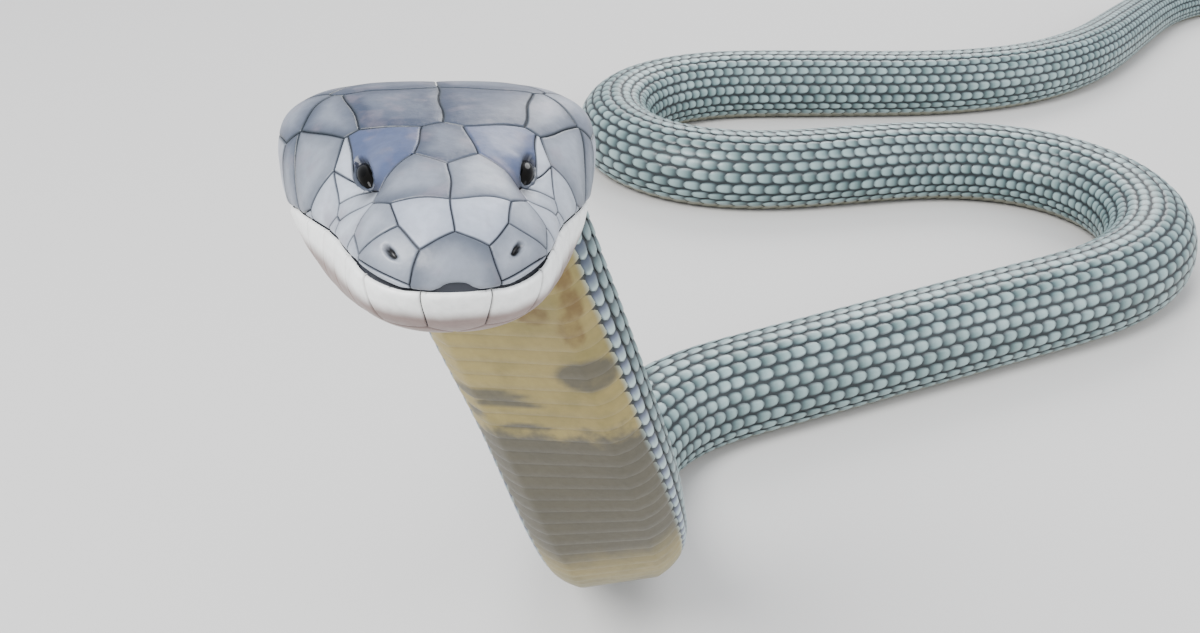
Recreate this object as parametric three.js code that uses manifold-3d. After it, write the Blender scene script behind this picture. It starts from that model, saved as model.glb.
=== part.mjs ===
// King cobra, life size, as a still model: the head and neck are raised off the
// floor and the rest of the body lies in loose bends behind them.
// Millimetres, +Z up. The face looks toward -Y. The origin is on the floor,
// under the middle of the model's bounding box.
import * as THREE from "three";
import { mergeVertices } from "three/addons/utils/BufferGeometryUtils.js";
import Module from "manifold-3d";

const wasm = await Module();
wasm.setup();

// The spine runs from the tip of the snout to the tip of the tail.
const LENGTH = 3600;
const SNOUT = [-33.3, 264.3, 395.8]; // tip of the snout, at the height of the mouth
const ORIGIN = [503.8, 1045.9, 0]; // middle of the floor under the model
const HEADING = 99.4; // degrees, direction from snout to nape seen from above
const HEAD_SLOPE = -10.6; // degrees, the nape is lower than the snout
const HEAD_LEAN = -2.8; // degrees, the head leans a little to one side
const NECK_TWIST = 18.4; // degrees, the raised neck turns its belly to one side
const SLOPE_BENDS = [
  { at: 100, over: 115, turn: -54 }, // nape, where the neck drops
  { at: 350, over: 300, turn: 64.6 }, // foot of the neck, where it levels out
];
const HEADING_BENDS = [
  { at: 100, over: 125, turn: -43.2 },
  { at: 290, over: 236, turn: 36.8 },
  { at: 542, over: 220, turn: -68.2 },
  { at: 1020, over: 540, turn: 166 },
  { at: 1580, over: 540, turn: -190 },
  { at: 2200, over: 420, turn: 52 },
  { at: 2700, over: 760, turn: -175 },
];
const LANDED = 650; // from here on the belly lies on the floor

// Cross-sections along the spine, measured from the line of the mouth:
// [distance, half width, height of the widest point, top, bottom, squareness
// of the back, how far the belly is pressed flat, how far the crown is narrowed]
const STATIONS = [
  [0, 17, 1, 11, -8, 2.15, 1, 0],
  [8, 21.5, 0, 15, -12, 2.2, 1, 0.05],
  [20, 26, 0, 20.5, -16, 2.5, 1, 0.16],
  [40, 32, 0, 26.5, -20, 2.7, 1, 0.24],
  [60, 39.4, 8, 31.8, -23, 3, 1, 0.1],
  [76, 43.2, 14, 34, -25, 3.3, 1, 0],
  [92, 42.7, 14, 34, -24, 3.2, 1, 0],
  [108, 38, 10, 30.5, -21, 2.6, 1.06, 0],
  [130, 37.5, 6, 27, -19, 2.3, 1.12, 0],
  [170, 40.5, 3, 23.5, -17.5, 2.1, 1.2, 0],
  [240, 43, 1, 21.5, -17, 2.1, 1.25, 0],
  [340, 42.5, 0, 23.5, -20, 2.1, 1.2, 0],
  [480, 39.5, -2, 29.5, -26, 2.1, 1.15, 0],
  [650, 37.5, -4, 34, -31, 2.1, 1.15, 0],
  [1200, 39, -5, 36, -33, 2.1, 1.15, 0],
  [2100, 39, -5, 36, -33, 2.1, 1.15, 0],
  [2700, 32, -4, 30, -27, 2.1, 1.15, 0],
  [3000, 21, -3, 20, -17, 2.1, 1.15, 0],
  [3300, 12, -2, 12, -9.5, 2.1, 1.15, 0],
  [3500, 6, -1, 6.5, -4.5, 2.1, 1.15, 0],
  [3600, 1.8, -0.3, 2, -1.4, 2.1, 1.15, 0],
];
const SNOUT_ROUNDING = 13; // the muzzle rounds off over this distance
const SNOUT_HEIGHT = 3; // height of the foremost point above the mouth

// The neck and body are parted into lengths that clear each other by GAP.
const GAP = 0.3;
const HEAD_END = 104;
const LENGTHS = [
  ["neck_upper", HEAD_END, 290],
  ["neck_lower", 290, 480],
  ["neck_base", 480, 660],
  ["trunk_1", 660, 1000],
  ["trunk_2", 1000, 1270],
  ["trunk_3", 1270, 1540],
  ["trunk_4", 1540, 1800],
  ["trunk_5", 1800, 2060],
  ["trunk_6", 2060, 2420],
  ["trunk_7", 2420, 2780],
  ["tail_1", 2780, 3060],
  ["tail_2", 3060, 3320],
  ["tail_3", 3320, LENGTH],
];
const NECK_END = 660;
const RING_SPACING = 32;
const BODY_SIDES = 18;

// Each eye is longer than high and stands a little out of its socket.
const EYE = { along: 38, angle: 45, long: 7.6, high: 4.7, deep: 5, sunk: 3.3 };
const SOCKET_CLEARANCE = 0.3;

const radians = (degrees) => (degrees * Math.PI) / 180;

function clamp(value, low, high) {
  return Math.min(Math.max(value, low), high);
}

// Rises smoothly from 0 to 1 as its argument does.
function ease(t) {
  const u = clamp(t, 0, 1);
  return u * u * (3 - 2 * u);
}

// A smooth curve through one column of the stations.
function station(column, s) {
  const last = STATIONS.length - 1;
  const at = clamp(s, STATIONS[0][0], STATIONS[last][0]);
  let i = 0;
  while (i < last - 1 && STATIONS[i + 1][0] <= at) i += 1;
  const slope = (k) => {
    const a = STATIONS[Math.max(k - 1, 0)];
    const b = STATIONS[Math.min(k + 1, last)];
    return (b[column] - a[column]) / (b[0] - a[0]);
  };
  const [a, b] = [STATIONS[i], STATIONS[i + 1]];
  const h = b[0] - a[0];
  const t = (at - a[0]) / h;
  return (
    (2 * t ** 3 - 3 * t ** 2 + 1) * a[column] +
    (t ** 3 - 2 * t ** 2 + t) * h * slope(i) +
    (-2 * t ** 3 + 3 * t ** 2) * b[column] +
    (t ** 3 - t ** 2) * h * slope(i + 1)
  );
}

// A point of the cross-section at distance s, at an angle from the middle of the
// back. Returns [sideways, height], grown outward by `grow`.
function section(s, angle, grow = 0) {
  const [half, widest, top, bottom, square, pressed, crown] = [1, 2, 3, 4, 5, 6, 7].map((c) =>
    station(c, s),
  );
  const rounding = Math.sqrt(1 - (1 - clamp((s + grow) / SNOUT_ROUNDING, 0, 1)) ** 2);
  const side = Math.sin(angle);
  const rise = Math.cos(angle);
  const power = 2 / (rise > 0 ? square : 2.15);
  const narrowed = rise > 0 ? 1 - crown * rise ** (2 * power) : 1;
  const x = (half + grow) * Math.sign(side) * Math.abs(side) ** power * narrowed;
  const z =
    rise > 0
      ? widest + (top + grow - widest) * rise ** power
      : widest - (widest - bottom + grow) * Math.min(1, pressed * Math.abs(rise) ** power);
  return [x * rounding, SNOUT_HEIGHT + (z - SNOUT_HEIGHT) * rounding];
}

function turned(start, bends, s) {
  return bends.reduce((sum, bend) => sum + bend.turn * ease((s - bend.at) / bend.over), start);
}

// The spine, walked once in short steps.
const STEP = 2;
const walked = [new THREE.Vector3(...SNOUT)];
function direction(s) {
  const slope = radians(turned(HEAD_SLOPE, SLOPE_BENDS, s));
  const heading = radians(turned(HEADING, HEADING_BENDS, s));
  return new THREE.Vector3(
    Math.cos(slope) * Math.cos(heading),
    Math.cos(slope) * Math.sin(heading),
    Math.sin(slope),
  );
}
for (let s = 0; s < LENGTH; s += STEP) {
  walked.push(walked.at(-1).clone().addScaledVector(direction(s + STEP / 2), STEP));
}
// What is left between the walked spine and the floor is shared out along the neck.
const DROP = -station(4, LANDED) - walked[LANDED / STEP].z;

// Position and axes of the spine at distance s: side, along (to the tail) and up.
function spine(s) {
  const k = clamp(Math.floor(s / STEP), 0, walked.length - 2);
  const at = walked[k].clone().lerp(walked[k + 1], s / STEP - k);
  at.z = s < LANDED ? at.z + DROP * ease((s - HEAD_END) / (LANDED - HEAD_END)) : -station(4, s);
  const along = direction(s);
  const level = new THREE.Vector3(along.y, -along.x, 0).normalize();
  const twist = NECK_TWIST * ease((s - 110) / 110) * (1 - ease((s - 330) / 290));
  const lean = radians(HEAD_LEAN * (1 - ease((s - HEAD_END) / 200)) + twist);
  const side = level.applyAxisAngle(along, -lean);
  const up = new THREE.Vector3().crossVectors(side, along);
  return { at, side, along, up };
}

// A closed skin over rings of points. The first and last rings are closed with a fan.
function loft(rings) {
  const sides = rings[0].length;
  const points = rings.flat();
  const faces = [];
  for (let i = 0; i + 1 < rings.length; i += 1) {
    for (let k = 0; k < sides; k += 1) {
      const a = i * sides + k;
      const b = i * sides + ((k + 1) % sides);
      faces.push(a, b, b + sides, a, b + sides, a + sides);
    }
  }
  const middle = (ring) =>
    ring.reduce((sum, p) => sum.add(p), new THREE.Vector3()).divideScalar(ring.length);
  const front = points.length;
  points.push(middle(rings[0]), middle(rings.at(-1)));
  const back = (rings.length - 1) * sides;
  for (let k = 0; k < sides; k += 1) {
    const next = (k + 1) % sides;
    faces.push(front, next, k, front + 1, back + k, back + next);
  }
  const geometry = new THREE.BufferGeometry().setFromPoints(points);
  geometry.setIndex(faces);
  return geometry;
}

function solid(geometry) {
  const bare = geometry.clone();
  for (const name of Object.keys(bare.attributes)) {
    if (name !== "position") bare.deleteAttribute(name);
  }
  const merged = mergeVertices(bare, 1e-4);
  return new wasm.Manifold(
    new wasm.Mesh({
      numProp: 3,
      vertProperties: new Float32Array(merged.attributes.position.array),
      triVerts: new Uint32Array(merged.index.array),
    }),
  );
}

// The largest closed surface of a solid, as a geometry.
function surface(form) {
  const parts = form.decompose();
  const largest = parts.reduce((a, b) => (b.volume() > a.volume() ? b : a));
  const mesh = largest.getMesh();
  const geometry = new THREE.BufferGeometry();
  geometry.setAttribute("position", new THREE.BufferAttribute(mesh.vertProperties.slice(), 3));
  geometry.setIndex(new THREE.BufferAttribute(mesh.triVerts.slice(), 1));
  geometry.computeVertexNormals();
  return geometry;
}

// Head, in its own frame: X sideways, Y back from the snout, Z up from the mouth.
const HEAD_SIDES = 30;
const HEAD_RINGS = [0.4, 1.5, 3.5, 6.5, 10.5, 15];
for (let t = 22; t < HEAD_END - 5; t += 10) HEAD_RINGS.push(t);
HEAD_RINGS.push(HEAD_END);

function headPoint(t, degrees, grow = 0) {
  const [x, z] = section(t, radians(degrees), grow);
  return new THREE.Vector3(x, t, z);
}

function headForm(grow) {
  const rings = HEAD_RINGS.map((t, i) => {
    const y = i === HEAD_RINGS.length - 1 ? t : t - grow;
    return Array.from({ length: HEAD_SIDES }, (_, k) => {
      const p = headPoint(t - grow, (360 * k) / HEAD_SIDES, grow);
      return p.setY(y);
    });
  });
  return solid(loft(rings));
}

// Shields of the head, by the place of each one's middle: distance back from the
// snout, degrees from the middle of the back, and how much larger its share of the
// surface is. Neighbours meet halfway between their middles.
const MIDDLE_SHIELDS = {
  rostral: [0, 0, -19],
  frontal: [35.8, 0, 48],
  mental: [2, 180, 0],
};
const PAIRED_SHIELDS = {
  internasal: [12.8, 20.1, -35],
  prefrontal: [26.8, 11.9, 72],
  supraocular: [39.8, 34.2, 89],
  parietal: [64.9, 9, 76],
  occipital: [88, 11, -42],
  nasal_front: [9.1, 61.8, -9],
  nasal_rear: [13.7, 57.2, -7],
  preocular: [27, 56, 20],
  postocular_upper: [44, 55, 24],
  postocular_lower: [41, 68, 18],
  temporal_1: [57, 60, -25],
  temporal_2: [61, 84, -25],
  temporal_3: [69, 37, -11],
  temporal_4: [80, 58, -70],
  temporal_5: [95, 34, -90],
  temporal_6: [98, 60, -90],
  temporal_7: [97, 84, -90],
  upper_lip_1: [8.7, 85, -13],
  upper_lip_2: [16, 79, -11],
  upper_lip_3: [25, 76, 11],
  upper_lip_4: [35, 80, 7],
  upper_lip_5: [47, 86, 0],
  upper_lip_6: [61, 98, -30],
  upper_lip_7: [76, 92, -50],
  lower_lip_1: [6, 112, 0],
  lower_lip_2: [14, 103, 0],
  lower_lip_3: [23, 102, 0],
  lower_lip_4: [33, 102, 0],
  lower_lip_5: [44, 103, 0],
  lower_lip_6: [56, 107, 0],
  lower_lip_7: [69, 109, 0],
  lower_lip_8: [82, 108, 0],
  chin_front: [19, 152, 0],
  chin_rear: [41, 150, 0],
};
const PLATE_HEIGHT = 0.8; // how far a shield stands out of the skin
const SEAM = 0.45; // half the width of the seam between two shields

const shields = [];
for (const [name, [t, degrees, share]] of Object.entries(MIDDLE_SHIELDS)) {
  shields.push({ name, at: headPoint(t, degrees), share, jaw: degrees > 90 });
}
for (const [name, [t, degrees, share]] of Object.entries(PAIRED_SHIELDS)) {
  const jaw = name.startsWith("lower_lip") || name.startsWith("chin");
  shields.push({ name: name + "_left", at: headPoint(t, degrees), share, jaw });
  shields.push({ name: name + "_right", at: headPoint(t, -degrees), share, jaw });
}
// Small scales of the throat and nape bound the shields and carry none themselves.
const SMALL_SCALES = [
  [60, 150, 0],
  [60, 180, 0],
  [78, 145, 0],
  [86, 170, 0],
  [98, 110, 0],
  [112, 0, 0],
  [112, 60, -60],
];
for (const [t, degrees, share] of SMALL_SCALES) {
  for (const sign of [1, -1]) {
    shields.push({ name: "small", at: headPoint(t, sign * degrees), share });
  }
}

// One shield: the grown head form, cut halfway to each neighbour.
function shieldPlate(form, own) {
  let plate = form;
  for (const other of shields) {
    if (other.name !== "small" && other.jaw !== own.jaw) continue;
    const toward = other.at.clone().sub(own.at);
    const reach = toward.length();
    if (reach < 0.01 || reach > 62) continue;
    const halfway =
      (other.at.lengthSq() - own.at.lengthSq() + own.share - other.share) / (2 * reach) - SEAM;
    const normal = toward.divideScalar(reach);
    plate = plate.trimByPlane([-normal.x, -normal.y, -normal.z], -halfway);
  }
  return plate;
}

// The surface normal of the head at a place, by small steps along it.
function headNormal(t, degrees) {
  const along = headPoint(t + 0.5, degrees).sub(headPoint(t - 0.5, degrees));
  const around = headPoint(t, degrees + 1).sub(headPoint(t, degrees - 1));
  return around.cross(along).normalize();
}

// A frame on the head: X round it, Y back along it and Z out of it.
function headFrameAt(t, degrees, out) {
  const z = headNormal(t, degrees);
  const y = new THREE.Vector3(0, 1, 0).addScaledVector(z, -z.y).normalize();
  const x = new THREE.Vector3().crossVectors(y, z);
  const place = headPoint(t, degrees).addScaledVector(z, out);
  return new THREE.Matrix4().makeBasis(x, y, z).setPosition(place);
}

// A round prism whose axis leaves the surface at the given place.
function plug(radius, length, t, degrees, out, sides = 16) {
  const normal = headNormal(t, degrees);
  const geometry = new THREE.CylinderGeometry(radius, radius, length, sides);
  geometry.applyQuaternion(
    new THREE.Quaternion().setFromUnitVectors(new THREE.Vector3(0, 1, 0), normal),
  );
  const place = headPoint(t, degrees).addScaledVector(normal, out);
  return solid(geometry.translate(place.x, place.y, place.z));
}

// The lips: a profile seen from the side, below which the lower jaw lies.
const MOUTH_LINE = [
  [-6, -0.2],
  [3, -0.2],
  [13, 4.2],
  [28, 5.8],
  [58, 6],
  [76, 2.6],
  [86, -2],
];
const JAW_END = 88;
const LIP_GAP = 0.5;

function belowLips(clearance) {
  const outline = new THREE.Shape();
  outline.moveTo(-6, -60);
  for (const [t, z] of MOUTH_LINE) outline.lineTo(t, z + clearance);
  outline.lineTo(JAW_END + clearance, -18);
  outline.lineTo(JAW_END + clearance, -60);
  const slab = new THREE.ExtrudeGeometry(outline, { depth: 160, bevelEnabled: false });
  slab.applyMatrix4(new THREE.Matrix4().set(0, 0, 1, -80, 1, 0, 0, 0, 0, 1, 0, 0, 0, 0, 0, 1));
  return solid(slab);
}

const bare = headForm(0);
const shell = headForm(PLATE_HEIGHT);
const upperShell = shell.subtract(belowLips(LIP_GAP));
const lowerShell = shell.intersect(belowLips(0));
let upperHead = bare.subtract(belowLips(LIP_GAP));
let lowerJaw = bare.intersect(belowLips(0));
for (const shield of shields) {
  if (shield.name === "small") continue;
  if (shield.jaw) lowerJaw = lowerJaw.add(shieldPlate(lowerShell, shield));
  else upperHead = upperHead.add(shieldPlate(upperShell, shield));
}

const eyes = [];
for (const [name, sign] of [["eye_left", 1], ["eye_right", -1]]) {
  const degrees = sign * EYE.angle;
  const eyeball = (clearance) =>
    solid(
      new THREE.SphereGeometry(1, 16, 10)
        .scale(EYE.high + clearance, EYE.long + clearance, EYE.deep + clearance)
        .applyMatrix4(headFrameAt(EYE.along, degrees, -EYE.sunk)),
    );
  const lid = new THREE.TorusGeometry(5.4, 1.1, 6, 20)
    .scale(0.8, 1.25, 1)
    .applyMatrix4(headFrameAt(EYE.along, degrees, 0.1));
  upperHead = upperHead.add(solid(lid)).subtract(eyeball(SOCKET_CLEARANCE));
  eyes.push({ name, form: eyeball(0) });
}

const NOSTRIL = { along: 6.5, angle: 54, radius: 1.6, depth: 5 };
for (const sign of [1, -1]) {
  upperHead = upperHead.subtract(
    plug(NOSTRIL.radius, NOSTRIL.depth, NOSTRIL.along, sign * NOSTRIL.angle, 0, 12),
  );
}
const TONGUE_NOTCH = { radius: 3.4, length: 12 };
const notch = new THREE.CylinderGeometry(TONGUE_NOTCH.radius, TONGUE_NOTCH.radius, TONGUE_NOTCH.length, 16);
upperHead = upperHead.subtract(solid(notch.translate(0, 0.5, 0)).scale([1, 1, 0.5]));

const GRAY = 0xa5aab2;
const skin = (color) =>
  new THREE.MeshStandardMaterial({ color, roughness: 0.42, metalness: 0, side: THREE.DoubleSide });

const model = new THREE.Group();
model.name = "king_cobra";

const headGroup = new THREE.Group();
const headFrame = spine(0);
headGroup.applyMatrix4(
  new THREE.Matrix4()
    .makeBasis(headFrame.side, headFrame.along, headFrame.up)
    .setPosition(headFrame.at.clone().sub(new THREE.Vector3(...ORIGIN))),
);
model.add(headGroup);

function addMesh(group, name, geometry, color) {
  const mesh = new THREE.Mesh(geometry, skin(color));
  mesh.name = name;
  group.add(mesh);
  return mesh;
}

addMesh(headGroup, "head", surface(upperHead), GRAY);
addMesh(headGroup, "lower_jaw", surface(lowerJaw), 0xe8e8e4);
for (const eye of eyes) {
  const mesh = addMesh(headGroup, eye.name, surface(eye.form), 0x111210);
  mesh.material.roughness = 0.08;
}

// Neck and body. On the neck each broad belly scute overlaps the next with a low step.
const SCUTE = { pitch: 19, step: 1.4, edge: 1.6 };

function bodyRing(s, raised) {
  const { at, side, up } = spine(s);
  at.sub(new THREE.Vector3(...ORIGIN));
  return Array.from({ length: BODY_SIDES }, (_, k) => {
    const angle = (2 * Math.PI * k) / BODY_SIDES;
    const [x, z] = section(s, angle);
    const onBelly = ease((-Math.cos(angle) - 0.35) / 0.3);
    const out = (raised * onBelly) / Math.hypot(x, z);
    return at.clone().addScaledVector(side, x * (1 + out)).addScaledVector(up, z * (1 + out));
  });
}

function bodyLength(from, to) {
  const rings = [];
  if (to <= NECK_END) {
    const count = Math.round((to - from) / SCUTE.pitch);
    for (let i = 0; i < count; i += 1) {
      const start = from + ((to - from) * i) / count;
      const end = from + ((to - from) * (i + 1)) / count - SCUTE.edge;
      const height = SCUTE.step * (1 - ease((end - 380) / 160));
      rings.push(bodyRing(start + (i === 0 ? GAP / 2 : 0), 0));
      rings.push(bodyRing(i === count - 1 ? to - GAP / 2 : end, height));
    }
    return loft(rings);
  }
  const count = Math.round((to - from) / RING_SPACING);
  for (let i = 0; i <= count; i += 1) {
    const s = from + ((to - from) * i) / count;
    rings.push(bodyRing(clamp(s, from + GAP / 2, to - (to < LENGTH ? GAP / 2 : 0)), 0));
  }
  return loft(rings);
}

for (const [name, from, to] of LENGTHS) {
  addMesh(model, name, bodyLength(from, to), from < NECK_END ? 0xb3a888 : 0x9aa096);
}

export default model;
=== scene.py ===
"""King cobra, life size, head and neck raised and the body in loose bends on the floor.

The shape is worked out in millimetres along the spine, from the snout to the tip of
the tail, and turned into metres when a mesh is made. An angle round the body is
measured from the middle of the back, and is positive on the animal's left.
"""

import math

import bmesh
import bpy
import numpy as np
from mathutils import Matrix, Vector


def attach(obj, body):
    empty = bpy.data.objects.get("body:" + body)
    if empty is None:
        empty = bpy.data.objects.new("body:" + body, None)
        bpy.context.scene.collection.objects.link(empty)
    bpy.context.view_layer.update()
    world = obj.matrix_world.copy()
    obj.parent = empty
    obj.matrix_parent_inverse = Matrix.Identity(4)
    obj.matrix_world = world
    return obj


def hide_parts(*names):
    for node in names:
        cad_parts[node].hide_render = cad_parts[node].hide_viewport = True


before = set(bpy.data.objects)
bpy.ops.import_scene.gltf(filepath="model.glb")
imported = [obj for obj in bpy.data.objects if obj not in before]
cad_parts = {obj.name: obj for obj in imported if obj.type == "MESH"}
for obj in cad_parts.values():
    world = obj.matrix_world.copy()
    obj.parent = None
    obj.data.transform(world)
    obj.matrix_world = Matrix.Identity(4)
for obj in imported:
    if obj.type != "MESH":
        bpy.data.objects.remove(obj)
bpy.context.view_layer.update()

MM = 0.001
rng = np.random.default_rng(7)

# The spine, as in the solid model. Each bend is where it starts, over what length it
# runs and how many degrees it turns.
LENGTH = 3600.0
SNOUT = np.array([-33.3, 264.3, 395.8])
ORIGIN = np.array([503.8, 1045.9, 0.0])
HEADING = 99.4
HEAD_SLOPE = -10.6
HEAD_LEAN = -2.8
NECK_TWIST = 18.4
SLOPE_BENDS = [(100, 115, -54), (350, 300, 64.6)]
HEADING_BENDS = [
    (100, 125, -43.2),
    (290, 236, 36.8),
    (542, 220, -68.2),
    (1020, 540, 166),
    (1580, 540, -190),
    (2200, 420, 52),
    (2700, 760, -175),
]
LANDED = 650.0
HEAD_END = 104.0
STEP = 2.0

# Distance, half width, height of the widest point, top, bottom, squareness of the
# back, how far the belly is pressed flat, how far the crown is narrowed.
STATIONS = np.array(
    [
        [0, 17, 1, 11, -8, 2.15, 1, 0],
        [8, 21.5, 0, 15, -12, 2.2, 1, 0.05],
        [20, 26, 0, 20.5, -16, 2.5, 1, 0.16],
        [40, 32, 0, 26.5, -20, 2.7, 1, 0.24],
        [60, 39.4, 8, 31.8, -23, 3, 1, 0.1],
        [76, 43.2, 14, 34, -25, 3.3, 1, 0],
        [92, 42.7, 14, 34, -24, 3.2, 1, 0],
        [108, 38, 10, 30.5, -21, 2.6, 1.06, 0],
        [130, 37.5, 6, 27, -19, 2.3, 1.12, 0],
        [170, 40.5, 3, 23.5, -17.5, 2.1, 1.2, 0],
        [240, 43, 1, 21.5, -17, 2.1, 1.25, 0],
        [340, 42.5, 0, 23.5, -20, 2.1, 1.2, 0],
        [480, 39.5, -2, 29.5, -26, 2.1, 1.15, 0],
        [650, 37.5, -4, 34, -31, 2.1, 1.15, 0],
        [1200, 39, -5, 36, -33, 2.1, 1.15, 0],
        [2100, 39, -5, 36, -33, 2.1, 1.15, 0],
        [2700, 32, -4, 30, -27, 2.1, 1.15, 0],
        [3000, 21, -3, 20, -17, 2.1, 1.15, 0],
        [3300, 12, -2, 12, -9.5, 2.1, 1.15, 0],
        [3500, 6, -1, 6.5, -4.5, 2.1, 1.15, 0],
        [3600, 1.8, -0.3, 2, -1.4, 2.1, 1.15, 0],
    ]
)
BELLY_SQUARENESS = 2.15
SNOUT_ROUNDING = 13.0
SNOUT_HEIGHT = 3.0
TRUNK_HALF_WIDTH = 39.0

# The mouth, as height over distance from the snout.
MOUTH_LINE = np.array(
    [[-6, -0.2], [3, -0.2], [13, 4.2], [28, 5.8], [58, 6], [76, 2.6], [86, -2], [106, -5]]
)
MOUTH_CORNER = 86.0

# Shields of the head: distance, degrees from the middle of the back, share.
MIDDLE_SHIELDS = {
    "rostral": (0, 0, -19),
    "frontal": (35.8, 0, 48),
    "mental": (2, 180, 0),
}
PAIRED_SHIELDS = {
    "internasal": (12.8, 20.1, -35),
    "prefrontal": (26.8, 11.9, 72),
    "supraocular": (39.8, 34.2, 89),
    "parietal": (64.9, 9, 76),
    "occipital": (88, 11, -42),
    "nasal_front": (9.1, 61.8, -9),
    "nasal_rear": (13.7, 57.2, -7),
    "preocular": (34.9, 58.4, 24),
    "postocular_upper": (40, 37.5, 70),
    "postocular_lower": (36.8, 55.5, 34),
    "temporal_1": (53.9, 77, 67),
    "temporal_2": (57.8, 85.4, 49),
    "temporal_3": (62.6, 35.5, -63),
    "temporal_4": (75.6, 65.4, -122),
    "temporal_5": (95, 34, -90),
    "temporal_6": (98, 60, -90),
    "temporal_7": (97, 84, -90),
    "upper_lip_1": (8.7, 85, -13),
    "upper_lip_2": (16, 79, -11),
    "upper_lip_3": (25, 76, 11),
    "upper_lip_4": (35, 80, 7),
    "cheek": (40.6, 74.7, 41),
    "upper_lip_5": (49, 88, 0),
    "upper_lip_6": (61, 98, -30),
    "upper_lip_7": (76, 92, -50),
    "lower_lip_1": (6, 112, 0),
    "lower_lip_2": (14, 103, 0),
    "lower_lip_3": (23, 102, 0),
    "lower_lip_4": (33, 102, 0),
    "lower_lip_5": (44, 103, 0),
    "lower_lip_6": (56, 107, 0),
    "lower_lip_7": (69, 109, 0),
    "lower_lip_8": (82, 108, 0),
    "chin_front": (19, 152, 0),
    "chin_rear": (41, 150, 0),
}
# Places behind the head that end the rearmost shields and have none of their own.
NAPE = [(112, 0, 0), (112, 60, -60)]
# Rows of small scales under the jaw: distance, first angle, last angle, and the step.
UNDER_JAW = [
    (56, 180, 124),
    (64.5, 173, 131),
    (73, 180, 124),
    (81.5, 173, 131),
    (90, 180, 124),
    (98.5, 173, 117),
]
UNDER_JAW_STEP = 14

# The eyes: place, half length and half height of the opening, and half axes of the ball
# along the head, round it and outward. A hollow lies ahead of each.
EYE = {"along": 38.0, "angle": 45.0, "sunk": 3.3, "reach": 14.0}
EYE_OPENING = (6.6, 2.2)
EYEBALL = (7.4, 3.2, 4.5)
EYE_HOLLOW = {"ahead": 8.5, "radius": 3.4}
NOSTRIL = {"along": 6.5, "angle": 54.0, "half_length": 1.6, "half_height": 0.75, "reach": 6.0}
FAR = 9.0


def ease(t):
    """Rises smoothly from 0 to 1 while t does."""
    u = np.clip(t, 0, 1)
    return u * u * (3 - 2 * u)


def station(column, s):
    """A smooth curve through one column of the stations."""
    xs, ys = STATIONS[:, 0], STATIONS[:, column]
    slopes = np.empty_like(ys)
    slopes[1:-1] = (ys[2:] - ys[:-2]) / (xs[2:] - xs[:-2])
    slopes[0] = (ys[1] - ys[0]) / (xs[1] - xs[0])
    slopes[-1] = (ys[-1] - ys[-2]) / (xs[-1] - xs[-2])
    at = np.clip(s, xs[0], xs[-1])
    i = np.clip(np.searchsorted(xs, at, side="right") - 1, 0, len(xs) - 2)
    h = xs[i + 1] - xs[i]
    t = (at - xs[i]) / h
    return (
        (2 * t**3 - 3 * t**2 + 1) * ys[i]
        + (t**3 - 2 * t**2 + t) * h * slopes[i]
        + (-2 * t**3 + 3 * t**2) * ys[i + 1]
        + (t**3 - t**2) * h * slopes[i + 1]
    )


def section(s, angle):
    """Sideways place and height of the body's surface, from the line of the mouth."""
    half, widest, top, bottom, square, pressed, crown = (station(c, s) for c in range(1, 8))
    rounding = np.sqrt(1 - (1 - np.clip(s / SNOUT_ROUNDING, 0, 1)) ** 2)
    side, rise = np.sin(angle), np.cos(angle)
    power = np.where(rise > 0, 2 / square, 2 / BELLY_SQUARENESS)
    narrowed = np.where(rise > 0, 1 - crown * np.abs(rise) ** (2 * power), 1)
    x = half * np.sign(side) * np.abs(side) ** power * narrowed
    above = widest + (top - widest) * np.abs(rise) ** power
    below = widest - (widest - bottom) * np.minimum(1, pressed * np.abs(rise) ** (2 / BELLY_SQUARENESS))
    z = np.where(rise > 0, above, below)
    return x * rounding, SNOUT_HEIGHT + (z - SNOUT_HEIGHT) * rounding


def turned(start, bends, s):
    """A slope or heading in degrees after the bends up to a distance."""
    return start + sum(turn * ease((s - at) / over) for at, over, turn in bends)


def direction(s):
    slope = np.radians(turned(HEAD_SLOPE, SLOPE_BENDS, s))
    heading = np.radians(turned(HEADING, HEADING_BENDS, s))
    level = np.cos(slope)
    return np.stack([level * np.cos(heading), level * np.sin(heading), np.sin(slope)], -1)


# The spine walked once in small steps, with its directions along, sideways and up.
walk_s = np.arange(0, LENGTH + STEP, STEP)
walk_at = np.vstack([SNOUT, SNOUT + np.cumsum(direction(walk_s[:-1] + STEP / 2) * STEP, 0)])
drop = -station(4, LANDED) - walk_at[int(LANDED / STEP), 2]
raised = walk_s < LANDED
walk_at[:, 2] = np.where(
    raised,
    walk_at[:, 2] + drop * ease((walk_s - HEAD_END) / (LANDED - HEAD_END)),
    -station(4, walk_s),
)
walk_at -= ORIGIN
walk_along = direction(walk_s)
walk_level = np.stack([walk_along[:, 1], -walk_along[:, 0], 0 * walk_s], -1)
walk_level /= np.linalg.norm(walk_level, axis=1, keepdims=True)
walk_twist = NECK_TWIST * ease((walk_s - 110) / 110) * (1 - ease((walk_s - 330) / 290))
walk_lean = np.radians(HEAD_LEAN * (1 - ease((walk_s - HEAD_END) / 200)) + walk_twist)[:, None]
walk_side = walk_level * np.cos(walk_lean) - np.cross(walk_along, walk_level) * np.sin(walk_lean)
walk_up = np.cross(walk_side, walk_along)


def along_walk(values, s):
    return np.stack([np.interp(s, walk_s, values[:, k]) for k in range(3)], -1)


def place(s, x, z):
    """A point beside the spine, in the model's frame, in millimetres."""
    side, up = along_walk(walk_side, s) * x[..., None], along_walk(walk_up, s) * z[..., None]
    return along_walk(walk_at, s) + side + up


def surface(s, angle):
    """Points on the body's plain form."""
    s, angle = np.broadcast_arrays(np.asarray(s, float), np.asarray(angle, float))
    return place(s, *section(s, angle))


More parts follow.
